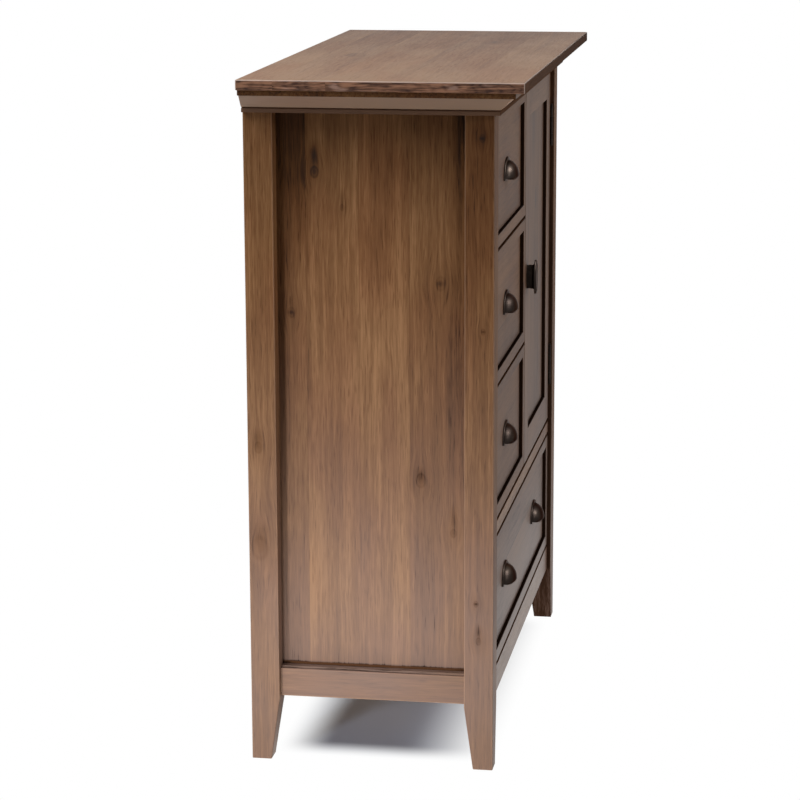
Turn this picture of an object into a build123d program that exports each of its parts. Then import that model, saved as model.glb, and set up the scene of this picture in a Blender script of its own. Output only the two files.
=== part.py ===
from build123d import *
import os

# A tall solid wood storage cabinet on four tapered legs: a column of three drawers
# beside a hinged cupboard door, with one wide drawer below both.
# Millimetres. X runs to the right seen from the front, Y runs to the back, Z runs up.
# The origin is on the floor, under the middle of the top board.

# Overall sizes and the top board
height = 1070.0
top_width = 940.0
top_depth = 432.0
top_thickness = 16.0
top_side_overhang = 39.0
top_front_overhang = 49.0
top_back_overhang = 2.0
top_edge_round = 2.0

# Thin board under the top, and the cornice moulding below it
sub_top_thickness = 8.0
sub_top_projection = 35.0
cornice_bead_projection = 9.0
cornice_bead_height = 6.5
cornice_quirk_projection = 6.0
cornice_quirk_height = 2.0
cornice_slope_foot = 10.5
cornice_projection = 26.0
cornice_lip_height = 1.5
cornice_height = 27.5

# Legs, square above and tapered on both inner faces below the rails
leg_size = 45.0
foot_size = 31.0
taper_height = 100.0

# Frame rails and panels
front_setback = 7.0
rail_height = 45.0
front_rail_bottom = 96.0
top_rail_reveal = 3.0
side_rail_bottom = 102.5
side_rail_recess = 10.0
front_rail_thickness = 20.0
back_rail_thickness = 20.0
middle_rail_height = 23.0
side_panel_recess = 28.0
side_panel_thickness = 12.0
side_ledge_depth = 13.0
side_ledge_height = 3.0
groove_depth = 8.0
back_panel_thickness = 6.0
back_panel_bottom = 110.0
floor_thickness = 15.0
partition_thickness = 18.0

# Door and drawer fronts, all inset between the front legs
front_thickness = 20.0
front_gap = 2.5
lower_gap = 3.0
side_gap = 1.25
front_clearance = 0.5
narrow_drawers = 3
wide_front_height = 207.5
split_x = 22.0
drawer_frame_width = 20.0
recess_depth = 6.5

# Drawer boxes
box_wall = 12.0
box_headroom = 47.5
box_lift = 12.0
box_back_clearance = 36.0
drawer_bottom_thickness = 6.0
drawer_bottom_lift = 10.0
drawer_groove = 6.0

# Steel drawer runners: a channel on the cabinet and a narrower one on the drawer
runner_width = 13.0
runner_height = 45.0
runner_gauge = 1.2
runner_clearance = 0.3
runner_flange = 8.0
runner_back_lap = 13.0
runner_setback = 2.0

# Cup pulls, an arched flange with a hollow dome open below, a little above the middle of the fronts
pull_width = 76.0
pull_height = 33.5
pull_foot = 4.0
pull_side_rim = 4.5
pull_top_rim = 5.0
pull_projection = 19.8
pull_wall = 1.8
pull_flange = 3.0
pull_boss_x = 24.0
pull_boss_lift = 6.0
pull_boss_radius = 4.5
pull_rise = 1.3
wide_pull_rise = 5.0
wide_pull_right = 215.0

# Machine screws behind pulls and knob
screw_radius = 2.0
screw_head_radius = 4.0
screw_head_height = 2.4
screw_hole_clearance = 0.2
thread_clearance = 0.05
screw_bite = 8.0

# Door, hung on the right on two butt hinges
door_bottom_gap = 4.0
door_frame_width = 50.0
door_panel_thickness = 7.0
door_hinge_gap = 2.0

# Oval door knob
knob_height = 58.0
knob_neck_height = 40.0
knob_neck_length = 8.5
knob_rim_reach = 13.0
knob_projection = 16.7
knob_face_height = 46.0
knob_oval = 0.52
knob_rim_bulge = 0.6
knob_face_dome = 0.8
knob_flare = 0.3
knob_face_fall = 0.1

# Butt hinges
hinge_length = 70.0
hinge_inset = 100.0
hinge_leaf_width = 20.0
hinge_leaf_gauge = 0.9
hinge_knuckle_radius = 2.6
hinge_pin_radius = 1.2
hinge_clearance = 0.2
hinge_fit = 0.05
hinge_middle_knuckle = 30.0
hinge_tip_radius = 2.0
hinge_tip_height = 2.0

# Shelf on four pins, and the rows of pin holes
shelf_thickness = 15.0
upper_bay_height = 306.0
shelf_side_clearance = 0.8
shelf_front_setback = 2.0
shelf_back_clearance = 4.0
pin_radius = 2.5
pin_length = 16.0
pin_depth = 8.0
pin_fit = 0.05
pin_hole_extra = 0.3
pin_from_leg_edge = 12.5
pin_back_inset = 18.0
pin_pitch = 32.0
pin_rows_each_way = 2

# Magnetic catch and its plate
catch_height = 45.0
catch_width = 14.0
catch_depth = 24.0
catch_drop = 75.5
plate_thickness = 1.0
plate_height = 36.0
plate_width = 12.0
catch_clearance = 0.2

# Turns in degrees
quarter_turn = 90.0
half_turn = 180.0

# Planes worked out from the sizes above
leg_out_x = top_width / 2 - top_side_overhang
leg_in_x = leg_out_x - leg_size
leg_front_y = -top_depth / 2 + top_front_overhang
leg_back_y = top_depth / 2 - top_back_overhang
side_front_y = leg_front_y + leg_size
side_back_y = leg_back_y - leg_size
top_under = height - top_thickness
sub_top_under = top_under - sub_top_thickness
cornice_bottom = sub_top_under - cornice_height
front_y = leg_front_y + front_setback
front_back_y = front_y + front_thickness
panel_y = front_y + recess_depth
inner_front_y = front_back_y + front_clearance
back_panel_y = leg_back_y - back_panel_thickness
back_rail_y = back_panel_y - back_rail_thickness
panel_out_x = leg_out_x - side_panel_recess
panel_in_x = panel_out_x - side_panel_thickness
side_rail_top = side_rail_bottom + rail_height

# Heights of the fronts, stacked up from the bottom rail
wide_front_z = front_rail_bottom + rail_height + front_gap
middle_rail_z = wide_front_z + wide_front_height + front_gap
middle_rail_top = middle_rail_z + middle_rail_height
lower_front_z = middle_rail_top + lower_gap
top_rail_z = cornice_bottom - top_rail_reveal
drawer_pitch = (top_rail_z - lower_front_z) / narrow_drawers
drawer_front_height = drawer_pitch - front_gap
door_top = top_rail_z - front_gap
door_z = middle_rail_top + door_bottom_gap

# Edges of the narrow drawer fronts and of the partition, and the back of the drawer boxes
column_left = -leg_in_x + side_gap
column_right = split_x - front_gap / 2
partition_left = split_x - partition_thickness / 2
partition_right = split_x + partition_thickness / 2
box_back_y = back_panel_y - box_back_clearance

# Door edges, the door panel's groove, the hinge axis and the knob
door_left = split_x + front_gap / 2
door_right = leg_in_x - door_hinge_gap
groove_y0 = panel_y
groove_y1 = panel_y + door_panel_thickness
hinge_x = leg_in_x - hinge_clearance - hinge_knuckle_radius
hinge_y = front_y - hinge_clearance - hinge_knuckle_radius
knob_x = door_left + door_frame_width / 2
knob_z = (door_z + door_top) / 2

# Heights of the shelf, of the pins under it and of the catch
shelf_underside = sub_top_under - upper_bay_height - shelf_thickness
shelf_pin_z = shelf_underside - pin_radius - pin_fit
catch_centre = top_rail_z - catch_drop


def block(x0, x1, y0, y1, z0, z1):
    """A box between three pairs of planes."""
    return Pos((x0 + x1) / 2, (y0 + y1) / 2, (z0 + z1) / 2) * Box(x1 - x0, y1 - y0, z1 - z0)


def prism_along_y(points, y0, y1):
    """An outline of (x, z) points carried from y0 to y1."""
    outline = Plane.XZ * make_face(Polyline(*points, close=True))
    return Pos(0, y1, 0) * extrude(outline, amount=y1 - y0)


def prism_along_x(points, x0, x1):
    """An outline of (y, z) points carried from x0 to x1."""
    outline = Plane.YZ * make_face(Polyline(*points, close=True))
    return Pos(x0, 0, 0) * extrude(outline, amount=x1 - x0)


def prism_along_z(points, z0, z1):
    """An outline of (x, y) points carried from z0 to z1."""
    return Pos(0, 0, z0) * extrude(make_face(Polyline(*points, close=True)), amount=z1 - z0)


def rod_along_y(x, z, radius, y0, y1):
    """A round rod or hole parallel to Y."""
    return Pos(x, (y0 + y1) / 2, z) * Rot(quarter_turn, 0, 0) * Cylinder(radius, y1 - y0)


def rod_along_x(y, z, radius, x0, x1):
    """A round rod or hole parallel to X."""
    return Pos((x0 + x1) / 2, y, z) * Rot(0, quarter_turn, 0) * Cylinder(radius, x1 - x0)


def rod_along_z(x, y, radius, z0, z1):
    """A round rod or hole parallel to Z."""
    return Pos(x, y, (z0 + z1) / 2) * Cylinder(radius, z1 - z0)


def top_panel():
    """The glued-up top board with its edges eased."""
    board = block(-top_width / 2, top_width / 2, -top_depth / 2, top_depth / 2, top_under, height)
    return fillet(board.edges(), top_edge_round)


def sub_top():
    """The thin board that shows as a step between the top and the cornice."""
    reach_x = leg_out_x + sub_top_projection
    reach_y = leg_front_y - sub_top_projection
    return block(-reach_x, reach_x, reach_y, leg_back_y, sub_top_under, top_under)


def cornice_profile():
    """Outline of the moulding as (distance out from the legs, height): bead, quirk, slope and lip."""
    bead_top = cornice_bottom + cornice_bead_height
    slope_z = bead_top + cornice_quirk_height
    return [
        (0, cornice_bottom),
        (cornice_bead_projection, cornice_bottom),
        (cornice_bead_projection, bead_top),
        (cornice_quirk_projection, bead_top),
        (cornice_quirk_projection, slope_z),
        (cornice_slope_foot, slope_z),
        (cornice_projection, sub_top_under - cornice_lip_height),
        (cornice_projection, sub_top_under),
        (0, sub_top_under),
    ]


def mitre_waste(side, keep_side_piece):
    """The wedge beyond the 45 degree mitre at one front corner, on one side of the joint."""
    reach = 2 * cornice_projection
    corner = (side * leg_out_x, leg_front_y)
    tip = (corner[0] + side * reach, corner[1] - reach)
    if keep_side_piece:
        last = (corner[0], corner[1] - reach)
    else:
        last = (corner[0] + side * reach, corner[1])
    return prism_along_z([corner, tip, last], cornice_bottom - 1, sub_top_under + 1)


def side_cornice(side):
    """The moulding down one side, mitred at the front and square at the back."""
    points = [(side * (leg_out_x + out), z) for out, z in cornice_profile()]
    strip = prism_along_y(points, leg_front_y - cornice_projection, leg_back_y)
    return strip - mitre_waste(side, True)


def front_cornice():
    """The moulding across the front, mitred at both ends."""
    points = [(leg_front_y - out, z) for out, z in cornice_profile()]
    reach = leg_out_x + cornice_projection
    strip = prism_along_x(points, -reach, reach)
    return strip - mitre_waste(-1, False) - mitre_waste(1, False)


def pin_rows():
    """Heights of the shelf pin holes, evenly spaced about the shelf."""
    return [shelf_pin_z + step * pin_pitch for step in range(-pin_rows_each_way, pin_rows_each_way + 1)]


def pin_places():
    """The Y positions of the front and back shelf pins, both in line with the legs."""
    return [side_front_y - pin_from_leg_edge, side_back_y + pin_back_inset]


def leg(side, front):
    """A leg with tapered foot, panel groove, back rebate and, on the right, shelf pin holes."""
    x_in = side * leg_in_x
    x_out = side * leg_out_x
    y_out = leg_front_y if front else leg_back_y
    y_in = side_front_y if front else side_back_y
    inward = 1 if front else -1
    post = block(min(x_in, x_out), max(x_in, x_out), min(y_in, y_out), max(y_in, y_out), 0, sub_top_under)
    foot_x = x_out - side * foot_size
    foot_y = y_out + inward * foot_size
    post -= prism_along_y([(x_in, 0), (foot_x, 0), (x_in, taper_height)], min(y_in, y_out), max(y_in, y_out))
    post -= prism_along_x([(y_in, 0), (foot_y, 0), (y_in, taper_height)], min(x_in, x_out), max(x_in, x_out))
    groove_end = y_in - inward * groove_depth
    post -= block(
        min(side * panel_in_x, side * panel_out_x), max(side * panel_in_x, side * panel_out_x),
        min(y_in, groove_end), max(y_in, groove_end),
        side_rail_top - groove_depth, cornice_bottom + groove_depth,
    )
    if not front:
        rebate_x = side * (leg_in_x + groove_depth)
        post -= block(
            min(x_in, rebate_x), max(x_in, rebate_x), back_panel_y, leg_back_y,
            back_panel_bottom, sub_top_under,
        )
    if side > 0:
        y = pin_places()[0] if front else pin_places()[1]
        for z in pin_rows():
            post -= rod_along_x(y, z, pin_radius + pin_fit, leg_in_x, leg_in_x + pin_depth + pin_hole_extra)
    return post


def side_panel(side):
    """A flat glued-up panel, its four edges in the grooves of legs and rails."""
    x0, x1 = sorted((side * panel_in_x, side * panel_out_x))
    return block(
        x0, x1, side_front_y - groove_depth, side_back_y + groove_depth,
        side_rail_top - groove_depth, cornice_bottom + groove_depth,
    )


def side_bottom_rail(side):
    """The rail under a side panel, set back from the legs, grooved along its top, with a low step."""
    x0, x1 = sorted((side * leg_in_x, side * (leg_out_x - side_rail_recess)))
    g0, g1 = sorted((side * panel_in_x, side * panel_out_x))
    s0, s1 = sorted((side * panel_out_x, side * (panel_out_x + side_ledge_depth)))
    rail = block(x0, x1, side_front_y, side_back_y, side_rail_bottom, side_rail_top)
    rail += block(s0, s1, side_front_y, side_back_y, side_rail_top, side_rail_top + side_ledge_height)
    return rail - block(g0, g1, side_front_y, side_back_y, side_rail_top - groove_depth, side_rail_top)


def side_top_rail(side):
    """The rail behind the side cornice, grooved underneath for the panel."""
    x0, x1 = sorted((side * leg_in_x, side * leg_out_x))
    g0, g1 = sorted((side * panel_in_x, side * panel_out_x))
    rail = block(x0, x1, side_front_y, side_back_y, cornice_bottom, sub_top_under)
    return rail - block(g0, g1, side_front_y, side_back_y, cornice_bottom, cornice_bottom + groove_depth)


def front_top_rail():
    """The rail behind the front cornice, over the drawers and the door."""
    return block(-leg_in_x, leg_in_x, leg_front_y, inner_front_y, top_rail_z, sub_top_under)


def front_rail(z0, rail_size):
    """A rail between the front legs, its face in line with the drawer fronts."""
    return block(-leg_in_x, leg_in_x, front_y, front_y + front_rail_thickness, z0, z0 + rail_size)


def back_rail(z0):
    """A rail between the back legs, inside the back panel."""
    return block(-leg_in_x, leg_in_x, back_rail_y, back_panel_y, z0, z0 + rail_height)


def back_panel():
    """The plywood back, nailed into the rebates of the back legs."""
    reach = leg_in_x + groove_depth
    return block(-reach, reach, back_panel_y, leg_back_y, back_panel_bottom, sub_top_under)


def cupboard_floor():
    """The board over the wide drawer, notched round the legs."""
    z0 = middle_rail_top - floor_thickness
    board = block(-leg_in_x, leg_in_x, front_y + front_rail_thickness, back_panel_y, z0, middle_rail_top)
    return board + block(-panel_in_x, panel_in_x, side_front_y, side_back_y, z0, middle_rail_top)


def partition():
    """The upright between drawers and cupboard, notched round the back rail, with shelf pin holes."""
    board = block(
        partition_left, partition_right, inner_front_y, back_panel_y, middle_rail_top, sub_top_under,
    )
    board -= back_rail(sub_top_under - rail_height)
    for y in pin_places():
        for z in pin_rows():
            start = partition_right - pin_depth - pin_hole_extra
            board -= rod_along_x(y, z, pin_radius + pin_fit, start, partition_right)
    return board


def shelf():
    """The loose cupboard shelf."""
    return block(
        partition_right + shelf_side_clearance, leg_in_x - shelf_side_clearance,
        front_back_y + shelf_front_setback, back_panel_y - shelf_back_clearance,
        shelf_underside, shelf_underside + shelf_thickness,
    )


def shelf_pins():
    """Four round steel pins, half in the wood and half under the shelf."""
    pins = []
    for y in pin_places():
        start = partition_right - pin_depth
        pins.append(rod_along_x(y, shelf_pin_z, pin_radius, start, start + pin_length))
        end = leg_in_x + pin_depth
        pins.append(rod_along_x(y, shelf_pin_z, pin_radius, end - pin_length, end))
    return pins


def box_height(front_size):
    """Height of a drawer's box behind a front of this height."""
    return front_size - box_lift - box_headroom


def runner_mid(front_z, front_size):
    """Height of a drawer's runners above the floor, at the middle of its box."""
    return front_z + box_lift + box_height(front_size) / 2


def cabinet_runner(wall_x, into, front_z, front_size):
    """The channel fixed to a wall at wall_x, open towards the drawer, from the front to the back leg."""
    z = runner_mid(front_z, front_size)
    y0 = front_back_y + runner_setback
    y1 = side_back_y + runner_back_lap
    lip = runner_width - runner_gauge - runner_clearance
    half = runner_height / 2
    x0, x1 = sorted((wall_x, wall_x + into * lip))
    c0, c1 = sorted((wall_x + into * runner_gauge, wall_x + into * lip))
    return block(x0, x1, y0, y1, z - half, z + half) - block(
        c0, c1, y0, y1, z - half + runner_gauge, z + half - runner_gauge,
    )


def drawer_runner(box_x, outward, front_z, front_size):
    """The channel on a drawer's side, sliding inside the cabinet's one."""
    z = runner_mid(front_z, front_size)
    y0 = front_back_y + runner_setback
    half = runner_height / 2 - runner_gauge - runner_clearance
    x0, x1 = sorted((box_x, box_x + outward * (runner_gauge + runner_flange)))
    c0, c1 = sorted((box_x + outward * runner_gauge, box_x + outward * (runner_gauge + runner_flange)))
    return block(x0, x1, y0, box_back_y, z - half, z + half) - block(
        c0, c1, y0, box_back_y, z - half + runner_gauge, z + half - runner_gauge,
    )


def cabinet_runners():
    """The eight fixed channels, a pair for each drawer."""
    pieces = []
    for step in range(narrow_drawers):
        z = lower_front_z + step * drawer_pitch
        pieces.append(cabinet_runner(-leg_in_x, 1, z, drawer_front_height))
        pieces.append(cabinet_runner(partition_left, -1, z, drawer_front_height))
    pieces.append(cabinet_runner(-leg_in_x, 1, wide_front_z, wide_front_height))
    pieces.append(cabinet_runner(leg_in_x, -1, wide_front_z, wide_front_height))
    return pieces


def front_board(x0, x1, z0, front_size, pulls):
    """The flat board behind a drawer's frame, drilled for the pull screws."""
    board = block(x0, x1, panel_y, front_back_y, z0, z0 + front_size)
    for hole in pull_screw_places(pulls):
        board -= rod_along_y(*hole, screw_radius + screw_hole_clearance, panel_y, front_back_y)
    return board


def front_frame(x0, x1, z0, front_size):
    """Four strips round the front of a drawer, mitred at the corners."""
    z1 = z0 + front_size
    w = drawer_frame_width
    outlines = [
        [(x0, z0), (x0 + w, z0 + w), (x0 + w, z1 - w), (x0, z1)],
        [(x1, z0), (x1, z1), (x1 - w, z1 - w), (x1 - w, z0 + w)],
        [(x0, z0), (x1, z0), (x1 - w, z0 + w), (x0 + w, z0 + w)],
        [(x0, z1), (x0 + w, z1 - w), (x1 - w, z1 - w), (x1, z1)],
    ]
    return [prism_along_y(points, front_y, panel_y) for points in outlines]


def box_bottom_z(front_z):
    """Underside of a drawer's box."""
    return front_z + box_lift


def drawer_box(x0, x1, front_z, front_size, pulls):
    """The sides, inner front and back of a drawer, grooved inside for the bottom."""
    z0 = box_bottom_z(front_z)
    z1 = z0 + box_height(front_size)
    y0 = front_back_y
    left = block(x0, x0 + box_wall, y0, box_back_y, z0, z1)
    right = block(x1 - box_wall, x1, y0, box_back_y, z0, z1)
    inner_front = block(x0 + box_wall, x1 - box_wall, y0, y0 + box_wall, z0, z1)
    back = block(x0 + box_wall, x1 - box_wall, box_back_y - box_wall, box_back_y, z0, z1)
    for hole in pull_screw_places(pulls):
        inner_front -= rod_along_y(*hole, screw_radius + screw_hole_clearance, y0, y0 + box_wall)
    groove = drawer_bottom(x0, x1, front_z)
    return [left - groove, right - groove, inner_front - groove, back - groove]


def drawer_bottom(x0, x1, front_z):
    """The plywood bottom, let into a groove on all four sides."""
    z0 = box_bottom_z(front_z) + drawer_bottom_lift
    inset = box_wall - drawer_groove
    return block(
        x0 + inset, x1 - inset, front_back_y + inset, box_back_y - inset, z0, z0 + drawer_bottom_thickness,
    )


def pull_places(xs, front_z, front_size, rise):
    """(x, z) of the foot of each pull on a front, this much above the front's middle."""
    return [(x, front_z + (front_size - pull_height) / 2 + rise) for x in xs]


def pull_screw_places(pulls):
    """(x, z) of each pull screw, two to a pull."""
    up = pull_foot + pull_boss_lift
    return [(x + side * pull_boss_x, z + up) for x, z in pulls for side in (-1, 1)]


def dome(half_width, reach, rise, x, z_mid):
    """A quarter of an ellipsoid on the drawer's face."""
    ball = scale(Sphere(1), by=(half_width, reach, rise))
    return Pos(x, panel_y, z_mid) * (ball & block(-half_width, half_width, -reach, 0, 0, rise))


def cup_pull(x, z0):
    """One cup pull: arched flange, hollow dome open below, and two screw bosses."""
    z_mid = z0 + pull_foot
    half = pull_width / 2
    rise = pull_height - pull_foot
    arch = make_face(
        Polyline((half, 0), (half, -pull_foot), (-half, -pull_foot), (-half, 0))
        + EllipticalCenterArc((0, 0), half, rise, start_angle=0, arc_size=half_turn)
    )
    flange = Pos(x, panel_y, z_mid) * extrude(Plane.XZ * arch, amount=pull_flange)
    outer_half = half - pull_side_rim
    outer_rise = rise - pull_top_rim
    inner_half = outer_half - pull_wall
    outer = dome(outer_half, pull_projection, outer_rise, x, z_mid)
    inner = dome(inner_half, pull_projection - pull_wall, outer_rise - pull_wall, x, z_mid)
    inner += block(x - inner_half, x + inner_half, panel_y - pull_flange, panel_y, z0, z_mid)
    body = flange + outer - inner
    for bx, bz in pull_screw_places([(x, z0)]):
        body += rod_along_y(bx, bz, pull_boss_radius, panel_y - pull_projection, panel_y) & outer
        body -= rod_along_y(
            bx, bz, screw_radius + thread_clearance, panel_y - screw_bite - thread_clearance, panel_y,
        )
    return body


def machine_screw(x, z, head_y, tip_y):
    """A pan-head screw parallel to Y, its head behind head_y."""
    head = rod_along_y(x, z, screw_head_radius, head_y, head_y + screw_head_height)
    return head + rod_along_y(x, z, screw_radius, tip_y, head_y)


def pulls_with_screws(pulls):
    """The pulls of one drawer and the screws that hold them."""
    pieces = [cup_pull(x, z) for x, z in pulls]
    for x, z in pull_screw_places(pulls):
        pieces.append(machine_screw(x, z, front_back_y + box_wall, panel_y - screw_bite))
    return pieces


def drawer(name, x0, x1, front_z, front_size, wall_left, wall_right, pulls):
    """All the pieces of one drawer, by node name."""
    box_left = wall_left + runner_width
    box_right = wall_right - runner_width
    return {
        name + "_front": front_board(x0, x1, front_z, front_size, pulls),
        name + "_frame": front_frame(x0, x1, front_z, front_size),
        name + "_box": drawer_box(box_left, box_right, front_z, front_size, pulls),
        name + "_bottom": drawer_bottom(box_left, box_right, front_z),
        name + "_pull": pulls_with_screws(pulls),
        name + "_runners": [
            drawer_runner(box_left, -1, front_z, front_size),
            drawer_runner(box_right, 1, front_z, front_size),
        ],
    }


def door_stile(x0, groove_side):
    """An upright of the door frame, grooved on its inner edge."""
    x1 = x0 + door_frame_width
    stile = block(x0, x1, front_y, front_back_y, door_z, door_top)
    if groove_side > 0:
        return stile - block(x1 - groove_depth, x1, groove_y0, groove_y1, door_z, door_top)
    return stile - block(x0, x0 + groove_depth, groove_y0, groove_y1, door_z, door_top)


def knob_stile():
    """The stile that carries the knob, drilled for its screw."""
    hole = rod_along_y(knob_x, knob_z, screw_radius + screw_hole_clearance, front_y, front_back_y)
    return door_stile(door_left, 1) - hole


def door_rail(z0, tongue_z0, tongue_z1, groove_z0):
    """A cross piece of the door frame with a stub tongue at each end and a groove for the panel."""
    x0 = door_left + door_frame_width
    x1 = door_right - door_frame_width
    rail = block(x0, x1, front_y, front_back_y, z0, z0 + door_frame_width)
    rail += block(x0 - groove_depth, x1 + groove_depth, groove_y0, groove_y1, tongue_z0, tongue_z1)
    return rail - block(
        x0 - groove_depth, x1 + groove_depth, groove_y0, groove_y1, groove_z0, groove_z0 + groove_depth,
    )


def door_rails():
    """The bottom and top rails of the door frame."""
    low_top = door_z + door_frame_width
    high = door_top - door_frame_width
    return [
        door_rail(door_z, door_z, low_top - groove_depth, low_top - groove_depth),
        door_rail(high, high + groove_depth, door_top, high),
    ]


def door_panel():
    """The flat door panel, held in the grooves of its frame."""
    inset = door_frame_width - groove_depth
    return block(
        door_left + inset, door_right - inset, groove_y0, groove_y1, door_z + inset, door_top - inset,
    )


def door_knob():
    """An oval knob with a straight neck and a domed face, and the screw behind it."""
    y = -knob_neck_length
    outline = Polyline((0, 0), (knob_neck_height / 2, 0), (knob_neck_height / 2, y))
    outline += Spline(
        (knob_neck_height / 2, y), (knob_height / 2, -knob_rim_reach), tangents=[(0, -1), (1, -knob_flare)],
    )
    outline += ThreePointArc(
        (knob_height / 2, -knob_rim_reach),
        (knob_height / 2 - knob_rim_bulge, -(knob_rim_reach + knob_projection) / 2),
        (knob_face_height / 2, -knob_projection + knob_face_dome),
    )
    outline += Spline(
        (knob_face_height / 2, -knob_projection + knob_face_dome), (0, -knob_projection),
        tangents=[(-1, -knob_face_fall), (-1, 0)],
    )
    outline += Line((0, -knob_projection), (0, 0))
    body = revolve(make_face(outline), Axis.Y)
    body = Pos(knob_x, front_y, knob_z) * scale(body, by=(knob_oval, 1, 1))
    body -= rod_along_y(
        knob_x, knob_z, screw_radius + thread_clearance, front_y - screw_bite - thread_clearance, front_y,
    )
    return [body, machine_screw(knob_x, knob_z, front_back_y, front_y - screw_bite)]


def hinge_bases():
    """Lower ends of the two hinges, each centred the same distance from its end of the door."""
    half = hinge_length / 2
    return [door_z + hinge_inset - half, door_top - hinge_inset - half]


def knuckle(z0, z1, leaf_x0, leaf_x1):
    """A bored knuckle with the strap that joins it to its leaf."""
    barrel = rod_along_z(hinge_x, hinge_y, hinge_knuckle_radius, z0, z1)
    strap = block(leaf_x0, leaf_x1, hinge_y, front_y + hinge_clearance, z0, z1)
    return barrel + strap - rod_along_z(hinge_x, hinge_y, hinge_pin_radius + hinge_fit, z0, z1)


def frame_hinge_leaf(z0):
    """The leaf on the leg, with the outer two knuckles."""
    x1 = leg_in_x
    x0 = x1 - hinge_leaf_gauge
    end = (hinge_length - hinge_middle_knuckle) / 2 - hinge_clearance
    leaf = block(x0, x1, front_y + hinge_clearance, front_y + hinge_leaf_width, z0, z0 + hinge_length)
    leaf += knuckle(z0, z0 + end, x0, x1)
    return leaf + knuckle(z0 + hinge_length - end, z0 + hinge_length, x0, x1)


def door_hinge_leaf(z0):
    """The leaf on the door's edge, with the middle knuckle."""
    x0 = door_right
    x1 = x0 + hinge_leaf_gauge
    start = z0 + (hinge_length - hinge_middle_knuckle) / 2
    leaf = block(x0, x1, front_y + hinge_clearance, front_y + hinge_leaf_width, z0, z0 + hinge_length)
    return leaf + knuckle(start, start + hinge_middle_knuckle, x0, x1)


def hinge_pin(z0):
    """A pin with a small button at each end."""
    z1 = z0 + hinge_length
    pin = rod_along_z(hinge_x, hinge_y, hinge_pin_radius, z0 - hinge_tip_height, z1 + hinge_tip_height)
    for base in (z0 - hinge_tip_height, z1):
        pin += rod_along_z(hinge_x, hinge_y, hinge_tip_radius, base, base + hinge_tip_height)
    return pin


def door_catch():
    """The magnet housing on the partition's cupboard face."""
    y0 = front_back_y + plate_thickness + catch_clearance
    return block(
        partition_right, partition_right + catch_width, y0, y0 + catch_depth,
        catch_centre - catch_height / 2, catch_centre + catch_height / 2,
    )


def catch_plate():
    """The steel plate on the back of the door that meets the magnet."""
    x0 = partition_right + (catch_width - plate_width) / 2
    return block(
        x0, x0 + plate_width, front_back_y, front_back_y + plate_thickness,
        catch_centre - plate_height / 2, catch_centre + plate_height / 2,
    )


def cabinet_pieces():
    """Everything that stands still, by node name."""
    return {
        "top_panel": top_panel(),
        "sub_top": sub_top(),
        "cornice_left": side_cornice(-1),
        "cornice_right": side_cornice(1),
        "cornice_front": front_cornice(),
        "front_left_leg": leg(-1, True),
        "front_right_leg": leg(1, True),
        "back_left_leg": leg(-1, False),
        "back_right_leg": leg(1, False),
        "left_side_panel": side_panel(-1),
        "right_side_panel": side_panel(1),
        "left_bottom_rail": side_bottom_rail(-1),
        "right_bottom_rail": side_bottom_rail(1),
        "left_top_rail": side_top_rail(-1),
        "right_top_rail": side_top_rail(1),
        "front_top_rail": front_top_rail(),
        "front_middle_rail": front_rail(middle_rail_z, middle_rail_height),
        "front_bottom_rail": front_rail(front_rail_bottom, rail_height),
        "back_top_rail": back_rail(sub_top_under - rail_height),
        "back_bottom_rail": back_rail(front_rail_bottom),
        "back_panel": back_panel(),
        "partition": partition(),
        "cupboard_floor": cupboard_floor(),
        "shelf": shelf(),
        "shelf_pins": shelf_pins(),
        "cabinet_runners": cabinet_runners(),
        "frame_hinge_leaves": [frame_hinge_leaf(z) for z in hinge_bases()],
        "hinge_pins": [hinge_pin(z) for z in hinge_bases()],
        "door_catch": door_catch(),
    }


def door_pieces():
    """The hinged door, by node name."""
    return {
        "door_knob_stile": knob_stile(),
        "door_hinge_stile": door_stile(door_right - door_frame_width, -1),
        "door_rails": door_rails(),
        "door_panel": door_panel(),
        "door_knob": door_knob(),
        "door_hinge_leaves": [door_hinge_leaf(z) for z in hinge_bases()],
        "catch_plate": catch_plate(),
    }


def drawer_pieces():
    """The three narrow drawers and the wide one, by node name."""
    pieces = {}
    middle = (column_left + column_right) / 2
    for step, name in enumerate(("lower_drawer", "middle_drawer", "upper_drawer")):
        z = lower_front_z + step * drawer_pitch
        pulls = pull_places([middle], z, drawer_front_height, pull_rise)
        pieces.update(drawer(
            name, column_left, column_right, z, drawer_front_height, -leg_in_x, partition_left, pulls,
        ))
    pulls = pull_places([middle, wide_pull_right], wide_front_z, wide_front_height, wide_pull_rise)
    pieces.update(drawer(
        "wide_drawer", column_left, -column_left, wide_front_z, wide_front_height, -leg_in_x, leg_in_x, pulls,
    ))
    return pieces


def write_parts(pieces):
    """Write one file per node, a group of solids as one compound."""
    os.makedirs("parts", exist_ok=True)
    for name, shape in pieces.items():
        if isinstance(shape, list):
            shape = Compound(children=shape)
        export_step(shape, f"parts/{name}.step")


write_parts({**cabinet_pieces(), **door_pieces(), **drawer_pieces()})
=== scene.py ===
import math

import bmesh
import bpy
import numpy as np
from mathutils import Matrix, Vector


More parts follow.
